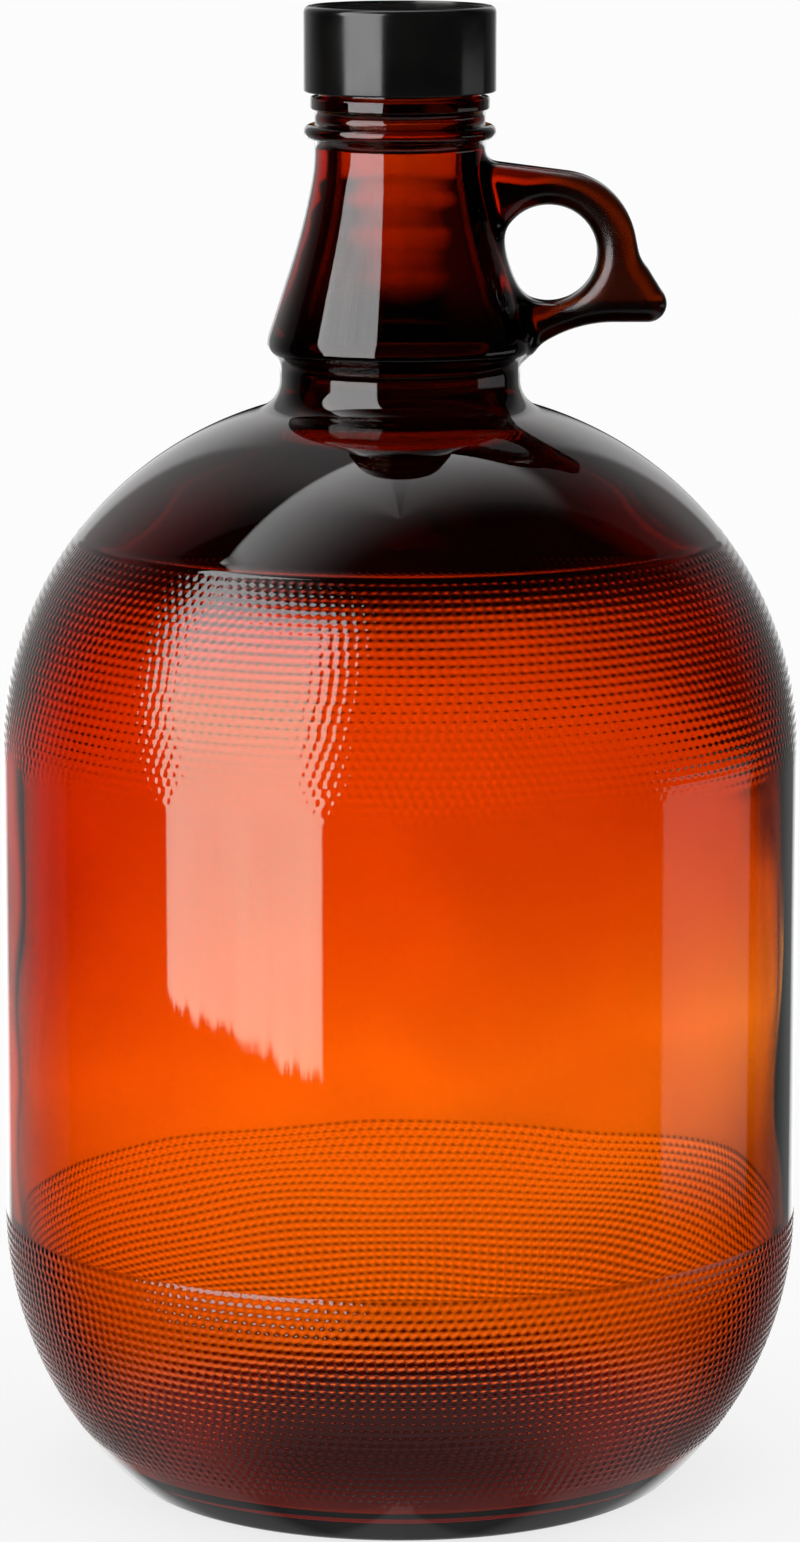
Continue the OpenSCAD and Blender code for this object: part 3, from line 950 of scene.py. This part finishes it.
class Studio(Nodes):
    """Light all round, as directions from a rig that faces the camera. turn is degrees from the camera
    towards its left, right is the same the other way, away is either way, and lift is degrees up. slope is
    the climb of a direction as the camera sees it. through is one for refracted rays, and touched is one
    for reflected rays too."""

    def __init__(self, tree, rig):
        super().__init__(tree)
        place = self.add("ShaderNodeTexCoord", object=rig)
        self.toward = place.outputs["Object"]
        self.x, y, z = self.add("ShaderNodeSeparateXYZ", inputs={0: self.toward}).outputs
        self.turn = self.math("DEGREES", self.math("ARCTAN2", self.times(self.x, -1.0), self.times(y, -1.0)))
        self.lift = self.math("DEGREES", self.math("ARCSINE", z))
        self.right = self.times(self.turn, -1.0)
        self.away = self.math("ABSOLUTE", self.turn)
        _, climb, depth = self.add("ShaderNodeSeparateXYZ", inputs={0: place.outputs["Camera"]}).outputs
        self.slope = self.math("DIVIDE", climb, self.math("ABSOLUTE", depth))
        light = self.add("ShaderNodeLightPath")
        self.through = light.outputs["Is Transmission Ray"]
        self.touched = self.math("MAXIMUM", self.through, light.outputs["Is Glossy Ray"])

    def key(self):
        """Softbox on the left that leans over as it rises, with a ragged lower end."""
        upright = self.math("SUBTRACT", self.turn, self.times(self.math("MAXIMUM", self.lift, 0.0), KEY_LEAN))
        rough = self.add("ShaderNodeTexNoise", inputs={
            "Vector": self.toward, "Scale": 14.0, "Detail": 4.0, "Roughness": 0.6}).outputs[0]
        level = self.math("SUBTRACT", self.lift, self.times(self.turn, KEY_SLOPE))
        sloped = self.plus(level, self.ramp(rough, *KEY_RAGGED))
        sides = self.times(self.ramp(self.turn, *KEY_SIDE), self.ramp(upright, *KEY_FAR_SIDE))
        ends = self.times(self.ramp(sloped, *KEY_LOW_END), self.ramp(self.lift, *KEY_HIGH_END))
        return self.times(sides, ends, self.ramp(rough, *KEY_LEVEL))

    def walls(self):
        """Walls to the left, to the right and at the back, dark near the floor."""
        left = self.times(self.window(self.turn, *LEFT_WALL), self.ramp(self.turn, *LEFT_LEVEL))
        right = self.times(self.window(self.right, *RIGHT_WALL), self.ramp(self.lift, *RIGHT_LEVEL),
                           self.ramp(self.right, *RIGHT_ROUND), self.ramp(self.lift, *RIGHT_UP))
        back = self.times(self.window(self.away, *BACK_WALL), self.ramp(self.lift, *BACK_LEVEL))
        return self.times(self.plus(left, right, back), self.ramp(self.lift, *WALLS_UP))

    def strip(self):
        """Low strip light on the right."""
        place = self.times(self.window(self.right, *STRIP_ACROSS), self.window(self.lift, *STRIP_UP))
        return self.times(place, self.ramp(self.right, *STRIP_LEVEL))

    def ceiling(self):
        """Overhead light that grows towards the back left and ends sharply."""
        turn = math.radians(CEILING_TURN)
        across = self.add("ShaderNodeVectorMath", operation="DOT_PRODUCT", inputs={
            0: self.toward, 1: (-math.sin(turn), -math.cos(turn), 0)}).outputs["Value"]
        rise = self.ramp(across, *CEILING_RISE, "LINEAR")
        return self.times(rise, rise, self.ramp(across, *CEILING_EDGE), self.ramp(self.lift, *CEILING_UP))

    def ground(self):
        """Faint light from the floor, with a brighter ring."""
        ring = self.times(self.window(self.lift, *GROUND_RING), GROUND_RING_LEVEL)
        return self.math("MAXIMUM", self.ramp(self.lift, *GROUND_LEVEL), ring)

    def glow(self):
        """Bright backdrop low behind the jug, wider and stronger for the rays that pass through the glass."""
        round_back = self.plus(self.away, self.times(self.through, GLOW_WIDER))
        behind = self.times(self.ramp(round_back, *GLOW_ROUND), self.ramp(self.slope, *GLOW_TOP))
        fall = self.times(self.ramp(self.slope, *GLOW_NEARER), self.ramp(self.slope, *GLOW_SHADE, "LINEAR"))
        level = self.plus(self.times(self.through, GLOW_THROUGH), GLOW_LEVEL)
        return self.times(behind, fall, self.times(level, self.ramp(self.x, *GLOW_ACROSS)))


def studio(rig):
    """World light: white for the eye and matt surfaces, the studio for reflected and refracted rays."""
    world = bpy.data.worlds.new("studio")
    bpy.context.scene.world = world
    world.use_nodes = True
    world.cycles.sampling_method = "NONE"
    n = Studio(world.node_tree, rig)
    room = n.plus(n.key(), n.walls(), n.strip(), n.ceiling(), n.ground())
    room = n.times(room, n.math("SUBTRACT", 1.0, n.times(n.through, THROUGH_LOSS)))
    total = n.plus(room, n.glow(), FAINT)
    level = n.add("ShaderNodeMix", data_type="FLOAT", inputs={0: n.touched, 2: 1.0, 3: total})
    sky = n.add("ShaderNodeBackground", inputs={"Color": (1, 1, 1, 1), "Strength": level.outputs[0]})
    out = n.add("ShaderNodeOutputWorld")
    n.tree.links.new(sky.outputs[0], out.inputs["Surface"])


def light_rig(camera):
    """Empty on the jug's axis that keeps the studio light facing the camera."""
    rig = bpy.data.objects.new("light_rig", None)
    bpy.context.scene.collection.objects.link(rig)
    turn = rig.constraints.new("LOCKED_TRACK")
    turn.target = camera
    turn.track_axis = "TRACK_NEGATIVE_Y"
    turn.lock_axis = "LOCK_Z"
    return rig


def camera():
    """Camera in front of the jug and a little above it."""
    data = bpy.data.cameras.new("camera")
    data.lens = LENS
    data.sensor_width = 36
    data.clip_start = 0.01
    data.clip_end = 50
    cam = bpy.data.objects.new("camera", data)
    bpy.context.scene.collection.objects.link(cam)
    cam.location = (0, -CAMERA_BACK * BODY_R, CAMERA_UP * BODY_R)
    cam.rotation_euler = (math.radians(90 - CAMERA_TILT), 0, 0)
    bpy.context.scene.camera = cam
    return cam


glass_jug()
screw_cap()
sealing_disc()
stage()
studio(light_rig(camera()))
bpy.context.scene.view_settings.view_transform = "Standard"
